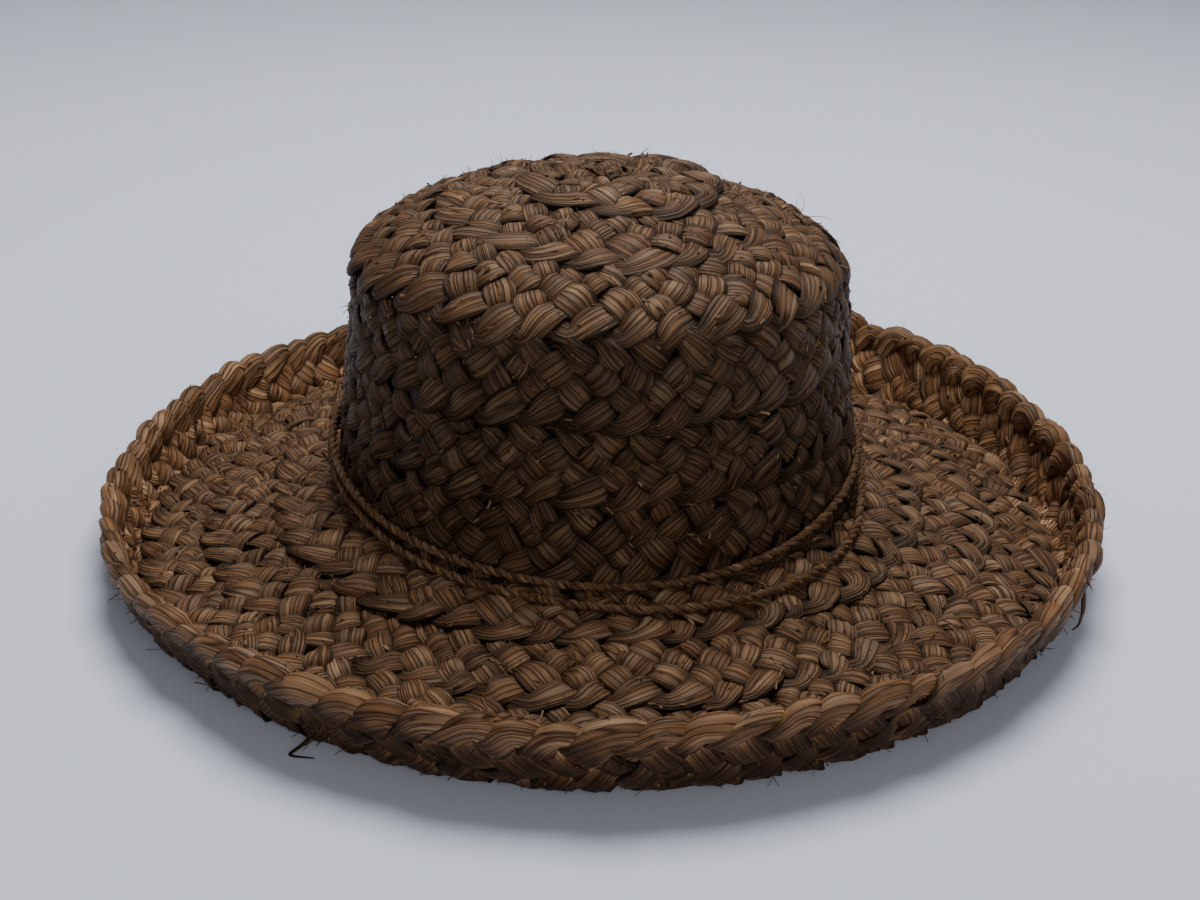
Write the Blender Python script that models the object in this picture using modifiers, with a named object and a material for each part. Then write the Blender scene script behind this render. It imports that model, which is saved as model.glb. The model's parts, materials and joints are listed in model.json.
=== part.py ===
"""A wide-brimmed sun hat of sewn raffia plait, with a twisted cord round its crown.

The hat stands on its brim: z = 0 is the surface that it rests on, -Y is its front,
and the origin is under the middle of the brim. The wall is described by a line in the
plane of each azimuth, from the pole of the crown to the rim, and it is lofted round.
"""

import math

import bmesh
import bpy
from mathutils import Matrix, Vector

# The crown, along the middle of its wall
FOOT_RADIUS = 0.0927
SIDE_TAPER = 0.0091
SIDE_HEIGHT = 0.0802
DOME_HEIGHT = 0.0298
DOME_FULLNESS = 1.655
CROWN_DEPTH_SHARE = 1.020
CROWN_SHIFT_X = -0.0028
CROWN_SHIFT_Y = 0.0009

# The brim and its turned-up edge, along the middle of the wall
BRIM_WIDTH = 0.0772
BRIM_DROP = 0.0209
BRIM_DEPTH_SHARE = 1.010
EDGE_FLARE = 0.0108
EDGE_RISE = 0.0238
FLAT_WIDTH = 0.0040
FLAT_PRESS = 0.0001

# The plait: its thickness, and how far each row's outer edge stands over the next row
PLAIT_THICKNESS = 0.0046
LAP_STEP = 0.0014
SEAM_GAP = 0.00032
TIP_TURNS = 3.22
SIDE_ROWS = 3
BRIM_ROWS = 3

# The cord that is laid twice round the crown, and its knot at the back. The turns are spaced
# TURN_SPACING times the cord's diameter and gap.
CORD_DIAMETER = 0.0033
CORD_GAP = 0.00042
CORD_CLIMB = 0.0165
CORD_SLACK = 0.0114
TURN_SPACING = 1.25
CORD_POINTS = 60
KNOT_LENGTH = 0.0090
KNOT_DEPTH = 0.0050
KNOT_ROUNDING = 0.0013
# The knot's height past the spacing of the two turns, in diameters of the cord
KNOT_COVER = 1.3
# The lower turn lies down on the brim where its slack passes this share
LAID_SHARE = 0.5

SECTIONS = 48
DOME_STEPS = 160

# The spiral of the plait steps out by one row between these azimuths, behind the crown
STEP_FROM = math.radians(15)
STEP_TO = math.radians(165)

# No point of the tip's outline lies nearer the pole than this share of a row
POLE_SHARE = 0.08

# Across one row: (share of the row's width, lift as a share of the lap step, share of the thickness)
ROW_SHAPE = (
    (0.03, -0.50, 0.86),
    (0.30, -0.12, 1.00),
    (0.70, 0.25, 1.00),
    (0.97, 0.50, 0.86),
)

# How the rim is bent by hand: (waves round the rim, share of the rise along x, share of the
# rise along y, share of the flare along x), each wave starting at +X
RIM_WAVES = (
    (1, 0.102, 0.042, 0.00),
    (2, -0.130, 0.042, -0.26),
)

# The cord: (degrees from the front towards +X, share of the climb, share of the slack)
CORD_LAY = (
    (-180, 1.00, 0.00),
    (-140, 1.00, 0.00),
    (-110, 0.97, 0.00),
    (-85, 0.86, 0.00),
    (-62, 0.58, 0.00),
    (-44, 0.34, 0.07),
    (-24, 0.16, 0.33),
    (-8, 0.05, 0.58),
    (5, 0.00, 0.83),
    (16, 0.01, 0.96),
    (29, 0.09, 1.00),
    (41, 0.19, 0.92),
    (52, 0.36, 0.72),
    (62, 0.53, 0.46),
    (75, 0.76, 0.10),
    (92, 0.91, 0.00),
    (120, 0.98, 0.00),
    (150, 1.00, 0.00),
    (180, 1.00, 0.00),
)

COLOURS = {
    "crown_tip": (0.150, 0.095, 0.062),
    "crown_side": (0.112, 0.070, 0.046),
    "brim": (0.140, 0.090, 0.060),
    "brim_edge": (0.155, 0.094, 0.058),
    "cord_upper": (0.085, 0.052, 0.034),
    "cord_lower": (0.085, 0.052, 0.034),
    "cord_knot": (0.085, 0.052, 0.034),
}

HALF_WALL = PLAIT_THICKNESS / 2
BRIM_SLOPE = math.atan2(BRIM_DROP, BRIM_WIDTH)
SIDE_SLOPE = math.atan2(SIDE_TAPER, SIDE_HEIGHT)
FOLD_RADIUS = FOOT_RADIUS + BRIM_WIDTH
FOLD_Z = HALF_WALL * math.cos(BRIM_SLOPE) - FLAT_WIDTH * math.sin(BRIM_SLOPE) - FLAT_PRESS
FOOT_Z = FOLD_Z + BRIM_DROP
SHOULDER_RADIUS = FOOT_RADIUS - SIDE_TAPER
SHOULDER_Z = FOOT_Z + SIDE_HEIGHT


def clear_scene():
    for obj in list(bpy.data.objects):
        bpy.data.objects.remove(obj, do_unlink=True)


def smooth_step(share):
    share = min(max(share, 0.0), 1.0)
    return share * share * (3 - 2 * share)


def between(table, column, at):
    """A smooth curve through a table's column, whose first column is what it depends on."""
    last = len(table) - 2
    i = min(max(sum(row[0] <= at for row in table) - 1, 0), last)
    x0, x1 = table[i][0], table[i + 1][0]
    y0, y1 = table[i][column], table[i + 1][column]

    def slope(k):
        low, high = max(k - 1, 0), min(k + 1, last + 1)
        return (table[high][column] - table[low][column]) / (table[high][0] - table[low][0])

    t = min(max((at - x0) / (x1 - x0), 0.0), 1.0)
    bend0, bend1 = slope(i) * (x1 - x0), slope(i + 1) * (x1 - x0)
    return (
        (2 * t**3 - 3 * t**2 + 1) * y0
        + (t**3 - 2 * t**2 + t) * bend0
        + (3 * t**2 - 2 * t**3) * y1
        + (t**3 - t**2) * bend1
    )


def dome_line():
    """The middle of the crown's domed top, from its pole to the shoulder, as (radius, z)."""
    line = []
    for i in range(DOME_STEPS + 1):
        turn = math.pi / 2 * (1 - i / DOME_STEPS)
        radius = SHOULDER_RADIUS * abs(math.cos(turn)) ** (2 / DOME_FULLNESS)
        height = DOME_HEIGHT * math.sin(turn) ** (2 / DOME_FULLNESS)
        line.append(Vector((0.0 if i == 0 else radius, SHOULDER_Z + height)))
    return line


def edge_line(azimuth):
    """The turned-up edge at one azimuth, from the fold to the rim, bent by the rim's waves."""
    rise, flare = 1.0, 1.0
    for count, rise_x, rise_y, flare_x in RIM_WAVES:
        along_x, along_y = math.cos(count * azimuth), math.sin(count * azimuth)
        rise += rise_x * along_x + rise_y * along_y
        flare += flare_x * along_x
    fold = Vector((FOLD_RADIUS, FOLD_Z))
    return [fold, fold + Vector((EDGE_FLARE * flare, EDGE_RISE * rise))]


def point_on(line, distance):
    """The point of a line at a distance along it, and the line's direction there."""
    for a, b in zip(line, line[1:]):
        step = (b - a).length
        if distance <= step or b is line[-1]:
            return a + (b - a) * (distance / step), (b - a).normalized()
        distance -= step


def length_of(line):
    return sum((b - a).length for a, b in zip(line, line[1:]))


def wall_line(part, azimuth):
    foot = Vector((FOOT_RADIUS, FOOT_Z))
    if part == "crown_tip":
        return dome_line()
    if part == "crown_side":
        return [Vector((SHOULDER_RADIUS, SHOULDER_Z)), foot]
    if part == "brim":
        return [foot, Vector((FOLD_RADIUS, FOLD_Z))]
    return edge_line(azimuth)


PARTS = (
    ("crown_tip", TIP_TURNS),
    ("crown_side", SIDE_ROWS),
    ("brim", BRIM_ROWS),
    ("brim_edge", 1),
)


def seam_direction(index, azimuth):
    """The direction of the wall at the seam after a part: halfway between its two sides."""
    before = wall_line(PARTS[index][0], azimuth)
    after = wall_line(PARTS[index + 1][0], azimuth)
    arriving = (before[-1] - before[-2]).normalized()
    leaving = (after[1] - after[0]).normalized()
    return (arriving + leaving).normalized()


def row_lift(share, azimuth):
    """Lift and thickness at a share of a row's width; the laps step outwards at the back."""
    share -= smooth_step((azimuth - STEP_FROM) / (STEP_TO - STEP_FROM))
    share -= math.floor(share)
    low = (ROW_SHAPE[-1][0] - 1, *ROW_SHAPE[-1][1:])
    high = (ROW_SHAPE[0][0] + 1, *ROW_SHAPE[0][1:])
    rows = (low, *ROW_SHAPE, high)
    for a, b in zip(rows, rows[1:]):
        if share <= b[0]:
            t = (share - a[0]) / (b[0] - a[0])
            return a[1] + (b[1] - a[1]) * t, a[2] + (b[2] - a[2]) * t
    return high[1:]


def stations(index, azimuth):
    """Where one part's outline has its points: (distance along it, lift, thickness)."""
    part, rows = PARTS[index]
    total = length_of(wall_line(part, azimuth))
    width = total / rows
    found = []
    for row in range(math.ceil(rows)):
        for share, _, _ in ROW_SHAPE:
            at = width * (rows - row - 1 + share)
            if at > POLE_SHARE * width or part != "crown_tip":
                lift, thick = row_lift(share, azimuth)
                fade = smooth_step(at / width) if part == "crown_tip" else 1.0
                found.append((at, lift * fade, thick))
    found.sort()
    if part == "brim_edge":
        found = [(width * share, lift, thick) for share, lift, thick in ROW_SHAPE]
    if part != "crown_tip":
        found[0] = (0.0, *ROW_SHAPE[0][1:])
    found[-1] = (total, *ROW_SHAPE[-1][1:])
    # the wall is full and unlapped at the fold, and flattened under it
    if part == "brim":
        found[-1:] = [(total - FLAT_WIDTH, 0.0, 1.0), (total, 0.0, 1.0)]
    if part == "brim_edge":
        found[0] = (0.0, 0.0, 1.0)
    return found


def wall_section(index, azimuth):
    """The wall's outline at one azimuth: its face from the inner edge out, then its back."""
    part = PARTS[index][0]
    line = wall_line(part, azimuth)
    found = stations(index, azimuth)
    face, back = [], []
    for i, (at, lift, thick) in enumerate(found):
        point, along = point_on(line, at)
        stretch = 1.0
        if i == 0 and index > 0:
            middle = seam_direction(index - 1, azimuth)
            stretch = 1 / middle.dot(along)
            point = point + along * stretch * SEAM_GAP / 2
            along = middle
        elif i == len(found) - 1 and index < len(PARTS) - 1:
            middle = seam_direction(index, azimuth)
            stretch = 1 / middle.dot(along)
            point = point - along * stretch * SEAM_GAP / 2
            along = middle
        out = Vector((-along.y, along.x)) * stretch
        face.append(point + out * (HALF_WALL * thick + LAP_STEP * lift))
        back.append(point - out * (HALF_WALL * thick - LAP_STEP * lift))
    if part == "brim_edge":
        end, along = point_on(line, length_of(line))
        face.append(end + along * HALF_WALL / 2)
    outline = face + back[::-1]
    return [Vector((p.x, max(p.y, 0.0))) for p in outline]


def place(point, azimuth):
    """Where a (radius, z) point of the wall stands: the brim and the crown are slightly oval."""
    share = min(max((point.x - FOOT_RADIUS) / BRIM_WIDTH, 0.0), 1.0)
    depth = CROWN_DEPTH_SHARE + (BRIM_DEPTH_SHARE - CROWN_DEPTH_SHARE) * share
    x = point.x * math.cos(azimuth) + CROWN_SHIFT_X * (1 - share)
    y = point.x * math.sin(azimuth) * depth + CROWN_SHIFT_Y * (1 - share)
    return Vector((x, y, point.y))


def material_for(name):
    material = bpy.data.materials.new(name + "_straw")
    material.use_nodes = True
    shader = material.node_tree.nodes["Principled BSDF"]
    shader.inputs["Base Color"].default_value = (*COLOURS[name], 1.0)
    shader.inputs["Roughness"].default_value = 0.72
    shader.inputs["Metallic"].default_value = 0.0
    return material


def add_object(name, data, collection):
    obj = bpy.data.objects.new(name, data)
    data.materials.append(material_for(name))
    collection.objects.link(obj)
    return obj


def loft_wall(index, collection):
    """One straw part: sections round the hat, joined to each other; the tip is closed at its pole."""
    name = PARTS[index][0]
    has_pole = name == "crown_tip"
    bm = bmesh.new()
    rings = []
    for i in range(SECTIONS):
        azimuth = 2 * math.pi * i / SECTIONS
        outline = wall_section(index, azimuth)
        rings.append([bm.verts.new(place(p, azimuth)) for p in outline])
    count = len(rings[0])
    for ring, following in zip(rings, rings[1:] + rings[:1]):
        for j in range(count - 1 if has_pole else count):
            k = (j + 1) % count
            bm.faces.new((ring[j], ring[k], following[k], following[j]))
    if has_pole:
        top = SHOULDER_Z + DOME_HEIGHT
        for j, height in ((0, top + HALF_WALL), (count - 1, top - HALF_WALL)):
            pole = bm.verts.new(place(Vector((0.0, height)), 0.0))
            for ring, following in zip(rings, rings[1:] + rings[:1]):
                bm.faces.new((pole, ring[j], following[j]))
    bmesh.ops.recalc_face_normals(bm, faces=bm.faces)
    mesh = bpy.data.meshes.new(name)
    bm.to_mesh(mesh)
    bm.free()
    obj = add_object(name, mesh, collection)
    mesh.shade_smooth()
    mesh.set_sharp_from_angle(angle=math.radians(50))
    return obj


def cord_seat(climb, slack):
    """Where the middle of the cord lies, as (radius, z): against the crown, and on the brim."""
    reach = CORD_DIAMETER / 2 + CORD_GAP + HALF_WALL
    on_brim = FOOT_Z + reach / math.cos(BRIM_SLOPE)
    by_side = FOOT_RADIUS + (reach + LAP_STEP / 2) / math.cos(SIDE_SLOPE)
    fall, lean = math.tan(BRIM_SLOPE), math.tan(SIDE_SLOPE)
    # the corner where the line over the brim meets the line beside the crown
    out = (by_side - FOOT_RADIUS - lean * (on_brim - FOOT_Z)) / (1 - lean * fall)
    corner = Vector((FOOT_RADIUS + out, on_brim - fall * out))
    radius = corner.x - lean * climb + slack
    return Vector((radius, corner.y + climb - fall * slack))


def cord_route(lower):
    """The points of one turn of the cord, from one side of the knot round the front to the other."""
    spacing = TURN_SPACING * (CORD_DIAMETER + CORD_GAP)
    stop = math.degrees((KNOT_LENGTH / 2 + SEAM_GAP) / FOOT_RADIUS)
    points = []
    for i in range(CORD_POINTS):
        degrees = (180 - stop) * (2 * i / (CORD_POINTS - 1) - 1)
        climb = CORD_CLIMB * between(CORD_LAY, 1, degrees)
        slack = 0.0
        if lower:
            share = between(CORD_LAY, 2, degrees)
            slack = CORD_SLACK * share
            climb = max(climb - spacing, 0.0) * (1 - smooth_step(share / LAID_SHARE))
        azimuth = math.radians(degrees - 90)
        points.append(place(cord_seat(climb, slack), azimuth))
    return points


def add_cord(name, lower, collection):
    curve = bpy.data.curves.new(name, "CURVE")
    curve.dimensions = "3D"
    curve.bevel_depth = CORD_DIAMETER / 2
    curve.bevel_resolution = 2
    curve.use_fill_caps = True
    points = cord_route(lower)
    spline = curve.splines.new("POLY")
    spline.points.add(len(points) - 1)
    for spline_point, point in zip(spline.points, points):
        spline_point.co = (*point, 1.0)
    return add_object(name, curve, collection)


def add_knot(collection):
    """The plain knot that ties both turns of the cord, behind the crown."""
    spacing = TURN_SPACING * (CORD_DIAMETER + CORD_GAP)
    seat = cord_seat(CORD_CLIMB - spacing / 2, 0.0)
    height = spacing + KNOT_COVER * CORD_DIAMETER
    bm = bmesh.new()
    bmesh.ops.create_cube(bm, size=1.0)
    bmesh.ops.scale(bm, vec=(KNOT_LENGTH, KNOT_DEPTH, height), verts=bm.verts)
    mesh = bpy.data.meshes.new("cord_knot")
    bm.to_mesh(mesh)
    bm.free()
    obj = add_object("cord_knot", mesh, collection)
    inset = KNOT_DEPTH / 2 - CORD_DIAMETER / 2
    centre = place(seat + Vector((inset, 0.0)), math.pi / 2)
    obj.matrix_world = Matrix.Translation(centre) @ Matrix.Rotation(SIDE_SLOPE, 4, "X")
    bevel = obj.modifiers.new("round", "BEVEL")
    bevel.width = KNOT_ROUNDING
    bevel.segments = 2
    return obj


def main():
    clear_scene()
    hat = bpy.data.collections.new("sun_hat")
    bpy.context.scene.collection.children.link(hat)
    for index in range(len(PARTS)):
        loft_wall(index, hat)
    add_cord("cord_upper", False, hat)
    add_cord("cord_lower", True, hat)
    add_knot(hat)
    bpy.context.view_layer.update()


main()
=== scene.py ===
import json
import math

import bpy
import numpy as np
from mathutils import Matrix, Vector

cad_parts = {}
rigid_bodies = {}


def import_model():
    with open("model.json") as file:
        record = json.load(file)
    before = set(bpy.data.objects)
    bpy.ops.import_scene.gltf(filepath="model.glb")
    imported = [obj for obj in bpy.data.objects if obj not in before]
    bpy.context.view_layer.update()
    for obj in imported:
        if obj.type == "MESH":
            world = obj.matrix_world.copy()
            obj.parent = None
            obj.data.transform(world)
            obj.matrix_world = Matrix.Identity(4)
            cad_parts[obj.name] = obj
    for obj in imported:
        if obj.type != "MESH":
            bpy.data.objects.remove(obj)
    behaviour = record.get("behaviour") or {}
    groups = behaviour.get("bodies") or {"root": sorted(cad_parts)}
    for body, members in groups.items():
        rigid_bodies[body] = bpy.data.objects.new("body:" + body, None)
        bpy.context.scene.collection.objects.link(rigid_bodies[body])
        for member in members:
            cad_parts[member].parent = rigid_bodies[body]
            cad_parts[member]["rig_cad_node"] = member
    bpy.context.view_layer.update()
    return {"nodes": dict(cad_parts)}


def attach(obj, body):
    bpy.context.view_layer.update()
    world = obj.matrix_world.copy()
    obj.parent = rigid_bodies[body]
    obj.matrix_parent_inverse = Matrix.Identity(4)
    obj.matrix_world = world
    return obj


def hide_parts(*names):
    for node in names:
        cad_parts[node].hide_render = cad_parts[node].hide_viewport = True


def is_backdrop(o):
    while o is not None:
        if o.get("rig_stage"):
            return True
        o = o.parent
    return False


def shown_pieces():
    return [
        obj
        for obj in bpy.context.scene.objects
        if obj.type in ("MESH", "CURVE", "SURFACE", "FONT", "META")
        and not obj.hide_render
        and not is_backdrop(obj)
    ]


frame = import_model()
print("frame loaded:", ", ".join(sorted(frame["nodes"])))

# the wall that the plait follows, in metres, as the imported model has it
wall = {
    "footRadius": 0.0927,
    "sideTaper": 0.0091,
    "sideHeight": 0.0802,
    "domeHeight": 0.0298,
    "domeFullness": 1.655,
    "crownDepth": 1.020,
    "crownShift": (-0.0028, 0.0009),
    "brimWidth": 0.0772,
    "brimDrop": 0.0209,
    "brimDepth": 1.010,
    "edgeFlare": 0.0108,
    "edgeRise": 0.0238,
    "flatWidth": 0.0040,
    "flatPress": 0.0001,
    "thickness": 0.0046,
    "lap": 0.0014,
    "tipTurns": 3.22,
    "sideRows": 3,
    "brimRows": 3,
    "rimWaves": ((1, 0.102, 0.042, 0.0), (2, -0.130, 0.042, -0.26)),  # waves, rise x, rise y, flare x
    "corner": 0.09,  # how far each crease is rounded, in rows
}

halfWall = wall["thickness"] / 2
brimSlope = math.atan2(wall["brimDrop"], wall["brimWidth"])
sideSlope = math.atan2(wall["sideTaper"], wall["sideHeight"])
foldRadius = wall["footRadius"] + wall["brimWidth"]
foldZ = halfWall * math.cos(brimSlope) - wall["flatWidth"] * math.sin(brimSlope) - wall["flatPress"]
footZ = foldZ + wall["brimDrop"]
shoulderRadius = wall["footRadius"] - wall["sideTaper"]
shoulderZ = footZ + wall["sideHeight"]
footRow = wall["tipTurns"] + wall["sideRows"]
foldRow = footRow + wall["brimRows"]
rimRow = foldRow + 1


def smoothStep(share):
    share = np.clip(share, 0.0, 1.0)
    return share * share * (3 - 2 * share)


def makeWallTable():
    # radius and height of the wall's middle against rows from the pole, plus the share of the edge
    turn = np.linspace(math.pi / 2, 0.0, 400)
    power = 2 / wall["domeFullness"]
    radius = shoulderRadius * np.abs(np.cos(turn)) ** power
    height = shoulderZ + wall["domeHeight"] * np.sin(turn) ** power
    radius[0] = 0.0
    length = np.concatenate([[0.0], np.cumsum(np.hypot(np.diff(radius), np.diff(height)))])
    rows = length / length[-1] * wall["tipTurns"]
    rows = np.concatenate([rows, [footRow, foldRow, rimRow, rimRow + 1]])
    radius = np.concatenate([radius, [wall["footRadius"], foldRadius, foldRadius, foldRadius]])
    height = np.concatenate([height, [footZ, foldZ, foldZ, foldZ]])
    edge = np.concatenate([np.zeros(len(turn)), [0.0, 0.0, 1.0, 2.0]])
    step = 0.01
    even = np.arange(-0.5, rimRow + 0.6, step)
    flip = np.where(even < 0, -1.0, 1.0)
    columns = [np.interp(np.abs(even), rows, radius) * flip]
    columns += [np.interp(np.abs(even), rows, height), np.interp(np.abs(even), rows, edge)]
    reach = int(wall["corner"] / step)
    window = np.hanning(2 * reach + 3)[1:-1]
    window /= window.sum()
    rounded = []
    for column in columns:
        padded = np.pad(column, reach, mode="edge")
        rounded.append(np.convolve(padded, window, mode="valid"))
    return even, rounded


wallRows, (wallRadius, wallHeight, wallEdge) = makeWallTable()


def profileAt(rows, azimuth):
    edge = np.interp(rows, wallRows, wallEdge)
    rise, flare = 1.0, 1.0
    for count, riseX, riseY, flareX in wall["rimWaves"]:
        rise = rise + riseX * np.cos(count * azimuth) + riseY * np.sin(count * azimuth)
        flare = flare + flareX * np.cos(count * azimuth)
    radius = np.interp(rows, wallRows, wallRadius) + edge * wall["edgeFlare"] * flare
    height = np.interp(rows, wallRows, wallHeight) + edge * wall["edgeRise"] * rise
    return radius, height


def placeOnHat(radius, height, azimuth):
    share = np.clip((radius - wall["footRadius"]) / wall["brimWidth"], 0, 1)
    depth = wall["crownDepth"] + (wall["brimDepth"] - wall["crownDepth"]) * share
    x = radius * np.cos(azimuth) + wall["crownShift"][0] * (1 - share)
    y = radius * np.sin(azimuth) * depth + wall["crownShift"][1] * (1 - share)
    return np.stack([x, y, height], axis=-1)


def wallAt(rows, azimuth, lift, ahead=0.02):
    # the point on the wall, moved out by lift, and the wall's outward direction there
    radius, height = profileAt(rows, azimuth)
    radiusOn, heightOn = profileAt(rows + ahead, azimuth)
    stepR, stepZ = radiusOn - radius, heightOn - height
    size = np.hypot(stepR, stepZ)
    outR, outZ = -stepZ / size, stepR / size
    point = placeOnHat(radius + outR * lift, height + outZ * lift, azimuth)
    outward = np.stack([outR * np.cos(azimuth), outR * np.sin(azimuth), outZ], axis=-1)
    return point, outward


# the plait: five strands, plain, wound from the middle of the crown to the rim
plait = {
    "strands": 5,
    "period": 0.063,  # along the plait, from one edge and back
    "width": 0.030,
    "swing": 0.060,  # how wide a strand would swing without its rounded turns
    "rounding": 0.975,  # 1 is a sharp turn at each edge
    "overlap": 0.0032,  # hidden under the row before it
    "brimOverlap": 0.0010,  # more of it on the brim
    "edgeOverlap": 0.0045,  # and still more at the row that stands up
    "crossLift": 0.00140,
    "crossSharpness": 0.75,
    "halfWidth": 0.00495,
    "halfDepth": 0.00125,
    "depthSwell": 0.12,  # thicker where a strand lies on top
    "turnSwell": 0.20,  # and where it turns back at an edge
    "bulge": 0.17,  # wider where a strand lies on top
    "pinch": 0.05,  # narrower where it dives
    "vary": 0.12,  # how much a strand's size varies along it
    "edgeNarrow": 0.30,  # narrower where it turns back
    "foldPull": 0.11,  # the last row of the brim stops short of the fold, in rows
    "foldDraw": 0.45,  # how far the last row's inner loops are drawn in under the fold
    "drawShare": (0.66, 0.22),  # from this share of the plait's width, and over how much of it
    "roll": 0.10,  # how far a strand leans to one side, in radians
    "lapLift": 0.0015,  # the outer edge lies over the next row and the inner edge under the last
    "lapShare": 0.22,
    "underShare": (0.76, 0.20),
    "rimWiden": 0.20,  # the last row's strands are wider, to close its outer face
    "rimLoops": (0.74, 0.2),  # the rim's own loops start here, in rows from the fold
    "rimPlump": 1.25,  # they are thicker
    "rimReach": 0.36,  # and lie along the rim, over this share of the plait
    "rimBend": 1.38,  # 1 would leave them evenly spread
    "rimRowWidth": 0.0275,
    "rowWidthLimits": (0.0255, 0.0295),
    "crowdLimits": (0.30, 1.25),  # how far a strand shrinks or grows where the rows are tight or long
    "narrowLimits": (0.15, 1.15),
    "depthLimits": (0.55, 1.10),
    "stepFrom": 15.0,  # degrees; the rows step outwards behind the crown
    "stepTo": 165.0,
    "centreRow": 0.22,
    "poleGather": 0.12,  # the rows from the pole over which the plait is gathered
    "poleReach": 0.25,
    "firstTurn": -0.55,
    "lastTurn": 10.10,
    "tableSize": 24001,
    "sample": 0.0018,
    "seed": 41,
}

# where along the plait a change sets in, in turns, and how many turns it takes
changes = {
    "stepping": (0.9, 1.5),  # the rows step outwards behind the crown
    "brim": (6.0, 1.0),
    "foldPull": (7.6, 0.3),
    "foldEnd": (8.75, 0.25),
    "edgeOverlap": (8.75, 0.5),
    "standing": (8.9, 0.25),  # the plait stands up as the rim
}

# how far the hand shifts the strands, in metres, and the size of each wave along and across
wander = {
    "along": {"by": 0.0013, "size": (0.016, 0.014)},
    "across": {"by": 0.0009, "size": (0.018, 0.016)},
    "out": {"by": 0.00022, "size": (0.020, 0.014)},
    "wall": {"by": 0.0006, "size": (0.075, 0.060)},
}
rowPitch = 0.027


class SmoothNoise:
    # a sum of waves over two directions, about -1 to 1
    def __init__(self, seed, sizeAlong, sizeAcross, waves=9):
        make = np.random.default_rng(seed)
        self.along = make.normal(0, 1, waves) / sizeAlong
        self.across = make.normal(0, 1, waves) / sizeAcross
        self.phase = make.uniform(0, 2 * math.pi, waves)
        self.scale = 1.5 / math.sqrt(waves)

    def at(self, along, across=0.0):
        total = 0.0
        for a, b, phase in zip(self.along, self.across, self.phase):
            total = total + np.sin(along * a * 2.2 + across * b * 2.2 + phase)
        return total * self.scale


def stepFrom(value, stretch):
    # 0 before the stretch's start and 1 after its length
    start, length = stretch
    return smoothStep((value - start) / length)


def changed(name, turn):
    return stepFrom(turn, changes[name])


def plaitCentre(turn):
    # the row of the plait's middle: level at the front, and one row further out behind the crown
    stepStart = 1 - (90 - plait["stepFrom"]) / 360
    stepLong = (plait["stepTo"] - plait["stepFrom"]) / 360
    past = turn - stepStart
    whole = np.floor(past)
    stepped = 0.5 + plait["centreRow"] + whole + smoothStep((past - whole) / stepLong)
    steady = turn + plait["centreRow"]
    return steady + (stepped - steady) * changed("stepping", turn)


def plaitBounds(turn):
    # outer and inner edge of the plait, in rows, and the row's width in metres
    centre = plaitCentre(turn)
    pulled = changed("foldPull", turn) * (1 - changed("foldEnd", turn))
    outer = np.minimum(centre + 0.5 - plait["foldPull"] * pulled, rimRow)
    rowWidth = rowWidthAt(centre)
    # the inner edge is tucked under the turn before it, and gathered at the pole
    tucked = plait["overlap"] + plait["brimOverlap"] * changed("brim", turn)
    tucked = tucked + plait["edgeOverlap"] * changed("edgeOverlap", turn)
    inner = plaitCentre(turn - 1) + 0.5 - tucked / rowWidth
    gather = plait["poleGather"]
    inner = np.where(inner < gather, gather * np.exp((inner - gather) / plait["poleReach"]), inner)
    return outer, inner, rowWidth


def rowWidthAt(row):
    # the wall's width over one row, in metres
    radius = np.interp(row + 0.5, wallRows, wallRadius) - np.interp(row - 0.5, wallRows, wallRadius)
    height = np.interp(row + 0.5, wallRows, wallHeight) - np.interp(row - 0.5, wallRows, wallHeight)
    plain = np.hypot(radius, height)
    return np.clip(np.where(row > foldRow + 0.3, plait["rimRowWidth"], plain), *plait["rowWidthLimits"])


# the plait's edges and its length against its turns
turnTable = np.linspace(plait["firstTurn"], plait["lastTurn"], plait["tableSize"])
outerTable, innerTable, widthTable = plaitBounds(turnTable)
midRow = (outerTable + innerTable) / 2
midRadius = np.interp(midRow, wallRows, wallRadius) + np.clip(midRow - foldRow, 0, 1) * wall["edgeFlare"]
stepLength = 2 * math.pi * midRadius[:-1] * np.diff(turnTable)
lengthTable = np.concatenate([[0.0], np.cumsum(stepLength)])
print("plait length: %.2f m" % lengthTable[-1])

waves = {}
for number, name in enumerate(wander):
    waves[name] = SmoothNoise(plait["seed"] + number, *wander[name]["size"])


def wanderAt(name, along, across):
    return wander[name]["by"] * waves[name].at(along, across)


def crossingWave(phase):
    # over, under, over, under from each edge, and level at the edges where a strand turns
    heights = np.array([0.0, 1.0, -1.0, 1.0, -1.0, 0.0, 1.0, -1.0, 1.0, -1.0, 0.0])
    at = np.mod(phase, 1.0) * 10
    low = np.floor(at).astype(int)
    t = at - low
    a, b = heights[low], heights[low + 1]
    swing = (1 - np.cos(math.pi * t)) / 2
    value = a + (b - a) * swing
    return np.sign(value) * np.abs(value) ** plait["crossSharpness"]


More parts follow.
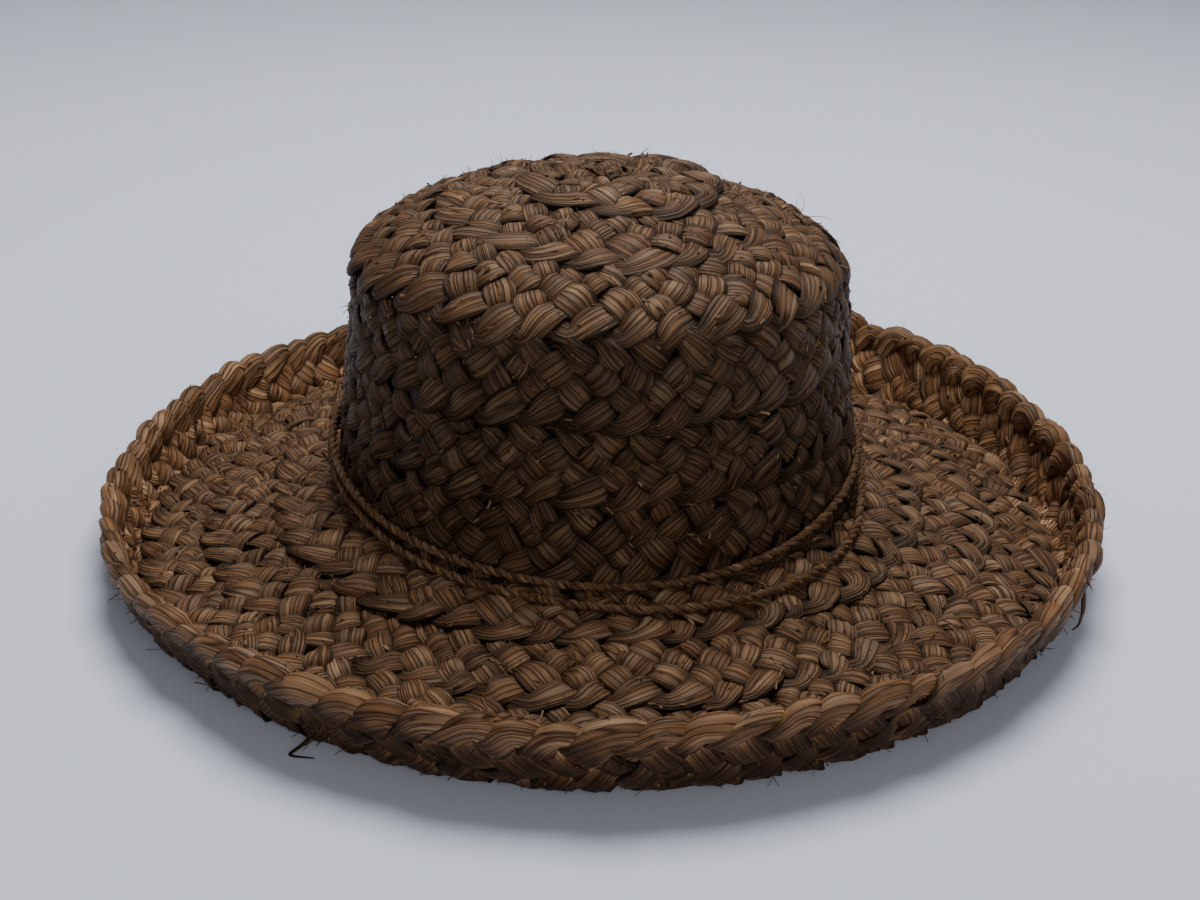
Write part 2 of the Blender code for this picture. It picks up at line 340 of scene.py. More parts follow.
def strandPath(strand, fromLength, toLength):
    count = int((toLength - fromLength) / plait["sample"]) + 2
    along = np.linspace(fromLength, toLength, count)
    phase = along / plait["period"] + strand / plait["strands"]
    swing = np.arcsin(plait["rounding"] * np.cos(2 * math.pi * phase))
    across = swing * plait["swing"] / (2 * math.pi * plait["rounding"])
    away = crossingWave(phase)
    size = SmoothNoise(plait["seed"] + 10 + strand, 0.014, 1.0)
    vary = plait["vary"] * size.at(along)
    # handwork: the whole plait wanders a little, each strand with its neighbours
    moved = along + wanderAt("along", along, across)
    across = across + wanderAt("across", along, across)
    outShift = wanderAt("out", along, across)
    turn = np.interp(moved, lengthTable, turnTable)
    outer = np.interp(turn, turnTable, outerTable)
    inner = np.interp(turn, turnTable, innerTable)
    rowWidth = np.interp(turn, turnTable, widthTable)
    standing = changed("standing", turn)
    share = 0.5 + across / plait["width"]  # 0 at the outer edge, 1 at the inner edge
    near = np.clip(share / plait["rimReach"], 0, 1)
    share = share - plait["rimReach"] * (near - near ** plait["rimBend"]) * standing
    rows = outer + (inner - outer) * share
    azimuth = 2 * math.pi * turn + math.pi / 2
    lap = 1 - smoothStep(share / plait["lapShare"])
    under = stepFrom(share, plait["underShare"])
    lift = plait["lapLift"] * (lap - under) + outShift
    lift = lift + wanderAt("wall", moved, rows * rowPitch)
    lift = lift + plait["crossLift"] * away
    turning = np.abs(np.cos(2 * math.pi * phase)) ** 6  # 1 where the strand turns back at an edge
    rim = stepFrom(rows - foldRow, plait["rimLoops"])  # 1 at the rim's own loops
    point, outward = wallAt(rows, azimuth, lift)
    radius = profileAt(rows, azimuth)[0]
    middle = np.interp(moved, lengthTable, midRadius)
    crowd = np.clip(radius / np.maximum(middle, 0.004), *plait["crowdLimits"])
    narrow = np.clip((outer - inner) * rowWidth / plait["width"], *plait["narrowLimits"])
    fit = np.sqrt(crowd * narrow)
    swell = plait["bulge"] * np.maximum(away, 0) - plait["pinch"] * (1 - np.abs(away))
    drawn = stepFrom(share, plait["drawShare"]) * standing  # 1 at the last row's inner loops
    halfWidth = plait["halfWidth"] * fit * (1 + swell + vary)
    halfWidth = halfWidth * (1 - plait["edgeNarrow"] * turning * (1 - 0.9 * rim))
    halfWidth = halfWidth * (1 + plait["rimWiden"] * standing * (1 - rim))
    halfWidth = halfWidth * (1 - plait["foldDraw"] * drawn)
    halfDepth = plait["halfDepth"] * np.clip(fit, *plait["depthLimits"])
    halfDepth = halfDepth * (1 + vary + plait["turnSwell"] * turning)
    halfDepth = halfDepth * (1 + plait["depthSwell"] * away) * (1 + plait["rimPlump"] * rim)
    lean = plait["roll"] * size.at(along * 1.3, 5.0)
    return point, outward, halfWidth, halfDepth, along, lean, (away + 1) / 2, rim


def frameAlong(point, outward):
    # at each point of a line, its direction to the side and straight out
    tangent = np.gradient(point, axis=0)
    tangent /= np.linalg.norm(tangent, axis=1, keepdims=True) + 1e-12
    sideways = np.cross(tangent, outward)
    sideways /= np.linalg.norm(sideways, axis=1, keepdims=True) + 1e-12
    square = np.cross(sideways, tangent)
    return sideways, square


class BundleLines:
    # the lines that bundles are swept along, with what each point needs
    def __init__(self):
        self.points, self.edges, self.count = [], [], 0
        self.columns = {}

    def add(self, point, outward, halfWidth, halfDepth, along, lean=0.0, raised=1.0, exposed=1.0, seed=0):
        number = len(point)
        sideways, square = frameAlong(point, outward)
        run = np.cross(square, sideways)
        cosine = np.cos(np.broadcast_to(lean, number))[:, None]
        sine = np.sin(np.broadcast_to(lean, number))[:, None]
        sideways, square = sideways * cosine + square * sine, square * cosine - sideways * sine
        self.points.append(point)
        first = np.arange(number - 1) + self.count
        self.edges.append(np.stack([first, first + 1], axis=1))
        self.count += number
        vectors = {"sideways": sideways, "outward": square, "run": run}
        sizes = {
            "halfWidth": halfWidth, "halfDepth": halfDepth, "along": along, "raised": raised,
            "exposed": exposed, "strandSeed": seed,
        }
        spread = {name: np.broadcast_to(value, number) for name, value in sizes.items()}
        for name, values in (vectors | spread).items():
            self.columns.setdefault(name, []).append(values)

    def mesh(self, name):
        mesh = bpy.data.meshes.new(name)
        points = np.concatenate(self.points)
        edges = np.concatenate(self.edges)
        mesh.vertices.add(len(points))
        mesh.vertices.foreach_set("co", points.astype(np.float32).ravel())
        mesh.edges.add(len(edges))
        mesh.edges.foreach_set("vertices", edges.astype(np.int32).ravel())
        for column, values in self.columns.items():
            values = np.concatenate(values).astype(np.float32)
            vector = values.ndim == 2
            layer = mesh.attributes.new(column, "FLOAT_VECTOR" if vector else "FLOAT", "POINT")
            layer.data.foreach_set("vector" if vector else "value", values.ravel())
        mesh.update()
        return mesh


def node(tree, kind, sockets=(), **settings):
    # a node with its settings, and its sockets given a value or linked
    made = tree.nodes.new(kind)
    for name, value in settings.items():
        setattr(made, name, value)
    for name, value in dict(sockets).items():
        if isinstance(value, bpy.types.NodeSocket):
            tree.links.new(value, made.inputs[name])
        else:
            made.inputs[name].default_value = value
    return made


def maths(tree, operation, first, second=None):
    sockets = {0: first} if second is None else {0: first, 1: second}
    return node(tree, "ShaderNodeMath", sockets, operation=operation).outputs[0]


def vectorMaths(tree, operation, first, second):
    sockets = {0: first, "Scale" if operation == "SCALE" else 1: second}
    return node(tree, "ShaderNodeVectorMath", sockets, operation=operation).outputs[0]


def combine(tree, x, y, z):
    return node(tree, "ShaderNodeCombineXYZ", {"X": x, "Y": y, "Z": z}).outputs[0]


def readNamed(tree, name, kind="FLOAT"):
    made = node(tree, "GeometryNodeInputNamedAttribute", {"Name": name}, data_type=kind)
    return made.outputs["Attribute"]


def storeNamed(tree, geometry, name, value, kind="FLOAT", domain="POINT"):
    made = node(tree, "GeometryNodeStoreNamedAttribute", {
        "Geometry": geometry, "Name": name, "Value": value,
    }, data_type=kind, domain=domain)
    return made.outputs["Geometry"]


def newTree(name, sizes):
    tree = bpy.data.node_groups.new(name, "GeometryNodeTree")
    tree.interface.new_socket("Geometry", in_out="OUTPUT", socket_type="NodeSocketGeometry")
    tree.interface.new_socket("Geometry", in_out="INPUT", socket_type="NodeSocketGeometry")
    for label, kind, value in sizes:
        socket = tree.interface.new_socket(label, in_out="INPUT", socket_type=kind)
        if value is not None:
            socket.default_value = value
    return tree, node(tree, "NodeGroupInput"), node(tree, "NodeGroupOutput")


def finishTree(tree, geometry, material, groupOut):
    smooth = node(tree, "GeometryNodeSetShadeSmooth", {"Geometry": geometry})
    real = node(tree, "GeometryNodeRealizeInstances", {"Geometry": smooth.outputs[0]})
    paint = node(tree, "GeometryNodeSetMaterial", {"Geometry": real.outputs[0], "Material": material})
    tree.links.new(paint.outputs[0], groupOut.inputs[0])


def makeBundleTree():
    # sweeps a flat bundle of ribbons along each line
    tree, groupIn, groupOut = newTree("ribbonBundle", (
        ("Points Round", "NodeSocketInt", 16),
        ("Face Share", "NodeSocketFloat", 0.38),
        ("Ribbons", "NodeSocketFloat", 3.6),
        ("Ribbon Run", "NodeSocketFloat", 40.0),
        ("Groove Depth", "NodeSocketFloat", 0.00085),
        ("Squareness", "NodeSocketFloat", 0.80),
        ("Material", "NodeSocketMaterial", None),
    ))
    given = groupIn.outputs
    position = node(tree, "GeometryNodeInputPosition").outputs[0]
    line = node(tree, "GeometryNodeMeshToCurve", {"Mesh": given["Geometry"]}).outputs["Curve"]
    line = storeNamed(tree, line, "centre", position, "FLOAT_VECTOR")
    ring = node(tree, "GeometryNodeCurvePrimitiveCircle", {
        "Resolution": given["Points Round"], "Radius": 1.0,
    }, mode="RADIUS")
    # more of the ring's points stand on its face than on its back
    apart = node(tree, "ShaderNodeSeparateXYZ", {0: position}).outputs
    angle = maths(tree, "ARCTAN2", apart["Y"], apart["X"])
    angle = maths(tree, "ADD", angle, maths(tree, "MULTIPLY", apart["X"], given["Face Share"]))
    profile = storeNamed(tree, ring.outputs["Curve"], "across", maths(tree, "COSINE", angle))
    profile = storeNamed(tree, profile, "through", maths(tree, "SINE", angle))
    sweep = node(tree, "GeometryNodeCurveToMesh", {
        "Curve": line, "Profile Curve": profile, "Fill Caps": True,
    })
    across, through = readNamed(tree, "across"), readNamed(tree, "through")
    along, seed = readNamed(tree, "along"), readNamed(tree, "strandSeed")
    spread = maths(tree, "POWER", maths(tree, "ABSOLUTE", across), given["Squareness"])
    spread = maths(tree, "MULTIPLY", maths(tree, "SIGN", across), spread)
    # grooves between the ribbons, from a noise that runs with the bundle
    where = combine(
        tree,
        maths(tree, "MULTIPLY", across, given["Ribbons"]),
        maths(tree, "ADD", maths(tree, "MULTIPLY", through, 1.2), maths(tree, "MULTIPLY", seed, 9.7)),
        maths(tree, "MULTIPLY", along, given["Ribbon Run"]),
    )
    noise = node(tree, "ShaderNodeTexNoise", {
        "Vector": where, "Scale": 1.0, "Detail": 1.5,
    }, noise_dimensions="3D")
    doubled = maths(tree, "MULTIPLY", given["Groove Depth"], 2.0)
    ridge = maths(tree, "MULTIPLY", maths(tree, "SUBTRACT", noise.outputs[0], 0.5), doubled)
    width = maths(tree, "MULTIPLY", spread, readNamed(tree, "halfWidth"))
    height = maths(tree, "MULTIPLY", through, maths(tree, "ADD", readNamed(tree, "halfDepth"), ridge))
    aside = vectorMaths(tree, "SCALE", readNamed(tree, "sideways", "FLOAT_VECTOR"), width)
    up = vectorMaths(tree, "SCALE", readNamed(tree, "outward", "FLOAT_VECTOR"), height)
    place = vectorMaths(tree, "ADD", aside, up)
    place = vectorMaths(tree, "ADD", readNamed(tree, "centre", "FLOAT_VECTOR"), place)
    put = node(tree, "GeometryNodeSetPosition", {"Geometry": sweep.outputs[0], "Position": place})
    finishTree(tree, put.outputs[0], given["Material"], groupOut)
    return tree


def runTree(name, mesh, tree, values, drop=()):
    # the tree's result as a plain mesh, with the modifier gone
    worker = bpy.data.objects.new(name + "Work", mesh)
    bpy.context.scene.collection.objects.link(worker)
    modifier = worker.modifiers.new("build", "NODES")
    modifier.node_group = tree
    sockets = {item.name: item.identifier for item in tree.interface.items_tree if item.in_out == "INPUT"}
    for label, value in values.items():
        modifier[sockets[label]] = value
    seen = worker.evaluated_get(bpy.context.evaluated_depsgraph_get())
    made = bpy.data.meshes.new_from_object(seen)
    made.name = name
    bpy.data.objects.remove(worker, do_unlink=True)
    bpy.data.meshes.remove(mesh)
    for spare in ("centre", "sideways", "outward", "halfWidth", "halfDepth", *drop):
        layer = made.attributes.get(spare)
        if layer is not None:
            made.attributes.remove(layer)
    piece = bpy.data.objects.new(name, made)
    bpy.context.scene.collection.objects.link(piece)
    print("%s: %d triangles" % (name, sum(len(face.vertices) - 2 for face in made.polygons)))
    return piece


# straw: each ribbon of raffia has its own brown, with fine fibres along it
strawColours = {
    "dark": (0.096, 0.046, 0.020),
    "middle": (0.158, 0.080, 0.037),
    "light": (0.238, 0.137, 0.070),
    "pale": (0.360, 0.235, 0.136),
    "red": (0.180, 0.074, 0.026),
    "grey": (0.176, 0.116, 0.078),
}


def colour(name, gain):
    return (*[c * gain for c in strawColours[name]], 1.0)


def ramp(tree, factor, stops):
    made = node(tree, "ShaderNodeValToRGB", {0: factor})
    steps = made.color_ramp.elements
    while len(steps) > 1:
        steps.remove(steps[-1])
    steps[0].position, steps[0].color = stops[0]
    for at, value in stops[1:]:
        steps.new(at).color = value
    return made.outputs[0]


def mixColour(tree, factor, first, second, blend="MIX"):
    sockets = {0: factor, 6: first, 7: second}
    return node(tree, "ShaderNodeMix", sockets, data_type="RGBA", blend_type=blend).outputs[2]


def grey(value):
    return (value, value, value, 1)


def strawMaterial(name, gain, roughness=0.50, ribbonCount=3.6, run=30.0, bump=0.00036, crevices=True):
    material = bpy.data.materials.new(name)
    material.use_nodes = True
    tree = material.node_tree
    shader = tree.nodes["Principled BSDF"].inputs

    def read(label):
        return node(tree, "ShaderNodeAttribute", attribute_name=label).outputs["Fac"]

    across, through, along, seed = read("across"), read("through"), read("along"), read("strandSeed")

    def place(scaleAcross, scaleAlong, offset, shift=0.0):
        # a point in the strand's own space, with its seed as an offset
        deep = maths(tree, "MULTIPLY", through, scaleAcross * 0.4)
        return combine(
            tree,
            maths(tree, "ADD", maths(tree, "MULTIPLY", across, scaleAcross), shift),
            maths(tree, "ADD", deep, maths(tree, "MULTIPLY", seed, 7.31 + offset)),
            maths(tree, "MULTIPLY", along, scaleAlong),
        )

    def noise(scaleAcross, scaleAlong, offset, detail):
        at = place(scaleAcross, scaleAlong, offset)
        made = node(tree, "ShaderNodeTexNoise", {
            "Vector": at, "Scale": 1.0, "Detail": detail, "Roughness": 0.60,
        }, noise_dimensions="3D")
        return made.outputs[0]

    def cells(feature, output):
        made = node(tree, "ShaderNodeTexVoronoi", {
            "Vector": ribbonPlace, "Scale": 1.0, "Randomness": 0.9,
        }, voronoi_dimensions="3D", feature=feature)
        return made.outputs[output]

    # ribbons: long cells that run with the strand and wander a little across it
    drift = maths(tree, "MULTIPLY", noise(0.2, run * 1.8, 1.7, 1.0), 2.4)
    ribbonPlace = place(ribbonCount, run, 0.0, drift)
    edge = cells("DISTANCE_TO_EDGE", "Distance")
    own = node(tree, "ShaderNodeSeparateColor", {0: cells("F1", "Color")}).outputs
    fine = noise(ribbonCount * 5.6, run * 2.6, 3.1, 4.0)
    patches = noise(0.7, run * 3.2, 11.9, 2.0)
    patched = maths(tree, "MULTIPLY", patches, 0.82)
    tone = ramp(tree, maths(tree, "ADD", maths(tree, "MULTIPLY", own[0], 0.22), patched), (
        (0.28, colour("dark", gain * 0.70)), (0.40, colour("middle", gain * 0.78)),
        (0.52, colour("middle", gain * 1.10)), (0.64, colour("light", gain * 1.15)),
        (0.80, colour("pale", gain * 1.15)),
    ))
    # some ribbons are redder and some greyer
    for channel, tint in ((1, "red"), (2, "grey")):
        tinted = ramp(tree, own[channel], ((0.55, grey(0)), (0.95, grey(0.6))))
        tone = mixColour(tree, tinted, tone, colour(tint, gain))
    # fine fibres, and a painted shade line in the gap between two ribbons
    streak = ramp(tree, fine, (
        (0.34, (0.56, 0.52, 0.48, 1)), (0.50, grey(1)), (0.66, (1.36, 1.33, 1.27, 1)),
    ))
    tone = mixColour(tree, 0.9, tone, streak, "MULTIPLY")
    crackShade = ramp(tree, edge, (
        (0.010, (0.20, 0.16, 0.13, 1)), (0.05, (0.70, 0.66, 0.62, 1)), (0.12, grey(1)),
    ))
    tone = mixColour(tree, 1.0, tone, crackShade, "MULTIPLY")
    if crevices:
        # painted shade: darker at a strand's flanks and where it dives under the next one, with a painted
        # highlight where it lies on top; less of it at the rim's own loops
        flankShade = ramp(tree, maths(tree, "ABSOLUTE", through), (
            (0.10, (0.07, 0.05, 0.04, 1)), (0.55, (0.60, 0.57, 0.54, 1)), (0.84, grey(1)),
        ))
        diveShadeAndLight = ramp(tree, read("raised"), (
            (0.05, (0.22, 0.18, 0.15, 1)), (0.40, (0.50, 0.46, 0.43, 1)),
            (0.68, (0.92, 0.91, 0.90, 1)), (0.92, grey(1.28)),
        ))
        for shadow, opened in ((flankShade, 1.0), (diveShadeAndLight, 0.7)):
            hidden = maths(tree, "SUBTRACT", 1.0, maths(tree, "MULTIPLY", read("exposed"), opened))
            tone = mixColour(tree, hidden, tone, shadow, "MULTIPLY")
    rounded = ramp(tree, edge, ((0.0, grey(0)), (0.10, grey(0.62)), (0.30, grey(1))))
    height = maths(tree, "ADD", rounded, maths(tree, "MULTIPLY", fine, 0.55))
    height = maths(tree, "ADD", height, maths(tree, "MULTIPLY", own[0], 0.3))
    relief = node(tree, "ShaderNodeBump", {"Strength": 1.0, "Distance": bump, "Height": height})
    rough = maths(tree, "ADD", maths(tree, "MULTIPLY", fine, 0.35), roughness - 0.15)
    tree.links.new(tone, shader["Base Color"])
    tree.links.new(rough, shader["Roughness"])
    tree.links.new(relief.outputs[0], shader["Normal"])
    shader["Specular IOR Level"].default_value = 0.20
    shader["Specular Tint"].default_value = (1.0, 0.84, 0.66, 1.0)
    return material


crownStraw = strawMaterial("crownStraw", gain=0.60)
# the side's straw is darker: partly its own darker straw and partly painted shade
shadedSideStraw = strawMaterial("shadedSideStraw", gain=0.33, roughness=0.46)
brimStraw = strawMaterial("brimStraw", gain=0.62)
# the edge's straw is brighter: painted light on the rim's outer face
litEdgeStraw = strawMaterial("litEdgeStraw", gain=1.10)
cordStraw = strawMaterial("cordStraw", gain=0.72, ribbonCount=1.6, run=120.0, bump=0.0002, crevices=False)
fibreStraw = strawMaterial("fibreStraw", gain=0.80, ribbonCount=0.8, run=60.0, bump=0.0001, crevices=False)
darkStraw = strawMaterial("darkStraw", gain=0.22, ribbonCount=0.8, run=60.0, bump=0.0001, crevices=False)


def makeFibreTree():
    # loose fibres that lie along the strands and lift at one end
    tree, groupIn, groupOut = newTree("looseFibres", (
        ("Fibres Per Square Metre", "NodeSocketFloat", 3000.0),
        ("Seed", "NodeSocketInt", 7),
        ("Length", "NodeSocketFloat", 0.0075),
        ("Thickness", "NodeSocketFloat", 0.00017),
        ("Flatness", "NodeSocketFloat", 0.5),
        ("Sides", "NodeSocketInt", 3),
        ("Bends", "NodeSocketInt", 5),
        ("Stray", "NodeSocketFloat", 0.7),
        ("Lift", "NodeSocketFloat", 0.35),
        ("Material", "NodeSocketMaterial", None),
    ))
    given = groupIn.outputs

    # a quarter as many on a strand's back as on its face
    onFace = maths(tree, "GREATER_THAN", readNamed(tree, "through"), 0.1)
    onFace = maths(tree, "ADD", maths(tree, "MULTIPLY", onFace, 0.75), 0.25)
    density = maths(tree, "MULTIPLY", onFace, given["Fibres Per Square Metre"])
    scatter = node(tree, "GeometryNodeDistributePointsOnFaces", {
        "Mesh": given["Geometry"], "Density": density, "Seed": given["Seed"],
    }, distribute_method="RANDOM").outputs

    # one fibre, one unit long
    bend = node(tree, "GeometryNodeCurveQuadraticBezier", {
        "Resolution": given["Bends"], "Start": (-0.45, 0.0, -0.03), "Middle": (0.15, 0.10, 0.03),
        "End": combine(tree, 0.5, -0.12, given["Lift"]),
    })
    share = node(tree, "GeometryNodeSplineParameter").outputs["Factor"]
    radius = maths(tree, "SUBTRACT", 1.0, maths(tree, "MULTIPLY", share, 0.75))
    taper = node(tree, "GeometryNodeSetCurveRadius", {"Curve": bend.outputs[0], "Radius": radius})
    line = storeNamed(tree, taper.outputs[0], "along", maths(tree, "MULTIPLY", share, 0.008))
    ring = node(tree, "GeometryNodeCurvePrimitiveCircle", {
        "Resolution": given["Sides"], "Radius": maths(tree, "DIVIDE", given["Thickness"], given["Length"]),
    }, mode="RADIUS")
    flatten = node(tree, "GeometryNodeTransform", {
        "Geometry": ring.outputs["Curve"], "Scale": combine(tree, 1.0, given["Flatness"], 1.0),
    })
    sweep = node(tree, "GeometryNodeCurveToMesh", {
        "Curve": line, "Profile Curve": flatten.outputs[0], "Fill Caps": True,
    })

    def chance(low, high, offset, kind="FLOAT"):
        # the node's first two sockets are for vectors, and the next two for plain numbers
        first = 0 if kind == "FLOAT_VECTOR" else 2
        made = node(tree, "FunctionNodeRandomValue", {
            first: low, first + 1: high, "Seed": maths(tree, "ADD", given["Seed"], offset),
        }, data_type=kind)
        return made.outputs[first // 2]

    # each stands on the strand and follows it, give or take its stray
    stand = node(tree, "FunctionNodeAlignRotationToVector", {"Vector": scatter["Normal"]}, axis="Z")
    follow = node(tree, "FunctionNodeAlignRotationToVector", {
        "Rotation": stand.outputs[0], "Vector": readNamed(tree, "run", "FLOAT_VECTOR"),
    }, axis="X", pivot_axis="Z")
    stray = chance(maths(tree, "MULTIPLY", given["Stray"], -1.0), given["Stray"], 3)
    flip = maths(tree, "MULTIPLY", maths(tree, "GREATER_THAN", chance(0.0, 1.0, 5), 0.5), math.pi)
    spin = node(tree, "FunctionNodeAxisAngleToRotation", {
        "Axis": (0, 0, 1), "Angle": maths(tree, "ADD", stray, flip),
    })
    turn = node(tree, "FunctionNodeRotateRotation", {
        "Rotation": follow.outputs[0], "Rotate By": spin.outputs[0],
    }, rotation_space="LOCAL")
    size = chance((0.35, 0.35, 0.15), (1.0, 1.0, 1.0), 9, "FLOAT_VECTOR")
    planted = node(tree, "GeometryNodeInstanceOnPoints", {
        "Points": scatter["Points"], "Instance": sweep.outputs[0], "Rotation": turn.outputs[0],
        "Scale": vectorMaths(tree, "SCALE", size, given["Length"]),
    })
    named = storeNamed(tree, planted.outputs[0], "strandSeed", chance(0.0, 60.0, 11), domain="INSTANCE")
    finishTree(tree, named, given["Material"], groupOut)
    return tree


bundleTree = makeBundleTree()
fibreTree = makeFibreTree()

# fine hairs, flat splinters of ribbon and short tufts, for each square metre of strand
looseFibres = {
    "hairs": {
        "Fibres Per Square Metre": 5200.0, "Length": 0.0120, "Thickness": 0.00020, "Flatness": 0.8,
        "Sides": 3, "Bends": 5, "Stray": 1.2, "Lift": 0.62,
    },
    "ribbons": {
        "Fibres Per Square Metre": 6500.0, "Length": 0.0120, "Thickness": 0.00060, "Flatness": 0.26,
        "Sides": 4, "Bends": 4, "Stray": 0.30, "Lift": 0.14,
    },
    "tufts": {
        "Fibres Per Square Metre": 9500.0, "Length": 0.0062, "Thickness": 0.00034, "Flatness": 0.5,
        "Sides": 3, "Bends": 3, "Stray": 0.9, "Lift": 0.85,
    },
}


def settle(piece, clearance=0.00015, soft=0.0012):
    # nothing goes below the surface that the hat rests on
    mesh = piece.data
    place = np.empty(len(mesh.vertices) * 3, dtype=np.float32)
    mesh.vertices.foreach_get("co", place)
    place = place.reshape(-1, 3)
    low = place[:, 2] < soft
    place[low, 2] = clearance + (soft - clearance) * np.exp((place[low, 2] - soft) / soft)
    mesh.vertices.foreach_set("co", place.ravel())
    mesh.update()


def growFibres(source, seed):
    for number, (name, sizes) in enumerate(looseFibres.items()):
        title = source.name.replace("Plait", "") + name.capitalize()
        values = sizes | {"Seed": seed + number * 17, "Material": fibreStraw}
        piece = runTree(title, source.data.copy(), fibreTree, values, drop=("run",))
        settle(piece)
        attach(piece, "root")


# which stretch of the plait makes which piece, in turns, and the model's parts it stands for
plaitPieces = (
    ("crownTipPlait", plait["firstTurn"], 3.0, ("crown_tip",), crownStraw),
    ("crownSidePlait", 3.0, 6.0, ("crown_side",), shadedSideStraw),
    ("brimInnerPlait", 6.0, 8.0, ("brim",), brimStraw),
    ("brimOuterPlait", 8.0, 9.0, ("brim",), brimStraw),
    ("brimEdgePlait", 9.0, plait["lastTurn"], ("brim_edge",), litEdgeStraw),
)


def makePlait():
    for number, (name, fromTurn, toTurn, nodes, material) in enumerate(plaitPieces):
        lines = BundleLines()
        fromLength = np.interp(fromTurn, turnTable, lengthTable)
        toLength = np.interp(toTurn, turnTable, lengthTable)
        for strand in range(plait["strands"]):
            lines.add(*strandPath(strand, fromLength, toLength), seed=strand)
        piece = runTree(name, lines.mesh(name + "Lines"), bundleTree, {"Material": material})
        settle(piece)
        growFibres(piece, 100 + number * 5)
        piece.data.attributes.remove(piece.data.attributes["run"])
        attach(piece, "root")
        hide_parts(*nodes)


makePlait()

# the cord: two plies, laid twice round the foot of the crown
cordSizes = {
    "diameter": 0.0033,
    "gap": 0.00042,  # between the cord and the wall
    "climb": 0.0165,  # how high up the crown it lies behind
    "slack": 0.0114,  # how far the lower turn hangs away at the front
    "spacing": 1.25,  # from turn to turn, in cords
    "points": 60,
    "knotLength": 0.0090,
    "seamGap": 0.00032,
    "laidShare": 0.5,  # the share of the slack from which the lower turn lies on the brim
    "pitch": 0.0084,  # one whole turn of a ply
    "plyOffset": 0.00066,
    "plyHalf": 0.00100,
    "sample": 0.0008,
}

knotSizes = {
    "wraps": (-0.25, 2.30),  # from and to, in turns
    "points": 90,
    "halfLength": 0.0029,
    "reach": 0.0024,  # past the middle of each cord
    "out": 0.00255,
    "outShift": 0.0009,
    "plyOffset": 0.00060,
    "plyHalf": 0.00080,
    "sample": 0.0007,
}

cordSpacing = cordSizes["spacing"] * (cordSizes["diameter"] + cordSizes["gap"])
cordBundle = {
    "Points Round": 9, "Ribbons": 1.4, "Ribbon Run": 160.0, "Squareness": 1.0, "Material": cordStraw,
}

# degrees from the front towards +X, share of the climb, share of the slack
cordLay = np.array((
    (-180, 1.00, 0.00), (-140, 1.00, 0.00), (-110, 0.97, 0.00), (-85, 0.86, 0.00), (-62, 0.58, 0.00),
    (-44, 0.34, 0.07), (-24, 0.16, 0.33), (-8, 0.05, 0.58), (5, 0.00, 0.83), (16, 0.01, 0.96),
    (29, 0.09, 1.00), (41, 0.19, 0.92), (52, 0.36, 0.72), (62, 0.53, 0.46), (75, 0.76, 0.10),
    (92, 0.91, 0.00), (120, 0.98, 0.00), (150, 1.00, 0.00), (180, 1.00, 0.00),
))


def cordShare(column, at):
    # a smooth curve through one column of the lay
    table = cordLay
    last = len(table) - 2
    i = min(max(int((table[:, 0] <= at).sum()) - 1, 0), last)
    x0, x1 = table[i, 0], table[i + 1, 0]

    def slope(k):
        low, high = max(k - 1, 0), min(k + 1, last + 1)
        return (table[high, column] - table[low, column]) / (table[high, 0] - table[low, 0])

    t = min(max((at - x0) / (x1 - x0), 0.0), 1.0)
    bend0, bend1 = slope(i) * (x1 - x0), slope(i + 1) * (x1 - x0)
    ends = (2 * t**3 - 3 * t**2 + 1) * table[i, column] + (3 * t**2 - 2 * t**3) * table[i + 1, column]
    return ends + (t**3 - 2 * t**2 + t) * bend0 + (t**3 - t**2) * bend1


def cordSeat(climb, slack):
    # radius and height of a cord that touches the crown and the brim, moved up or outwards from there
    reach = cordSizes["diameter"] / 2 + cordSizes["gap"] + halfWall
    onBrim = footZ + reach / math.cos(brimSlope)
    bySide = wall["footRadius"] + (reach + wall["lap"] / 2) / math.cos(sideSlope)
    fall, lean = math.tan(brimSlope), math.tan(sideSlope)
    out = (bySide - wall["footRadius"] - lean * (onBrim - footZ)) / (1 - lean * fall)
    corner = (wall["footRadius"] + out, onBrim - fall * out)
    return corner[0] - lean * climb + slack, corner[1] + climb - fall * slack


def cordRoute(lower):
    stop = math.degrees((cordSizes["knotLength"] / 2 + cordSizes["seamGap"]) / wall["footRadius"])
    points = []
    for i in range(cordSizes["points"]):
        degrees = (180 - stop) * (2 * i / (cordSizes["points"] - 1) - 1)
        climb = cordSizes["climb"] * cordShare(1, degrees)
        slack = 0.0
        if lower:
            share = cordShare(2, degrees)
            slack = cordSizes["slack"] * share
            laid = float(smoothStep(share / cordSizes["laidShare"]))
            climb = max(climb - cordSpacing, 0.0) * (1 - laid)
        radius, height = cordSeat(climb, slack)
        points.append(placeOnHat(np.float64(radius), np.float64(height), math.radians(degrees - 90)))
    return np.array(points)


def resample(points, step):
    # the same line with evenly spaced points
    length = np.concatenate([[0.0], np.cumsum(np.linalg.norm(np.diff(points, axis=0), axis=1))])
    even = np.linspace(0, length[-1], int(length[-1] / step) + 1)
    smooth = np.stack([np.interp(even, length, points[:, i]) for i in range(3)], axis=1)
    return smooth, even, length[-1]


def pliedLines(lines, points, along, seed, sizes, up=(0, 0, 1)):
    tangent = np.gradient(points, axis=0)
    tangent /= np.linalg.norm(tangent, axis=1, keepdims=True)
    aside = np.cross(tangent, np.array(up, dtype=float))
    aside /= np.linalg.norm(aside, axis=1, keepdims=True)
    above = np.cross(aside, tangent)
    turn = -along / sizes["pitch"] * 2 * math.pi
    for ply in range(2):
        angle = (turn + math.pi * ply)[:, None]
        outward = np.cos(angle) * aside + np.sin(angle) * above
        centre = points + outward * sizes["plyOffset"]
        lines.add(centre, outward, sizes["plyHalf"], sizes["plyHalf"] * 0.92, along, seed=seed + ply)


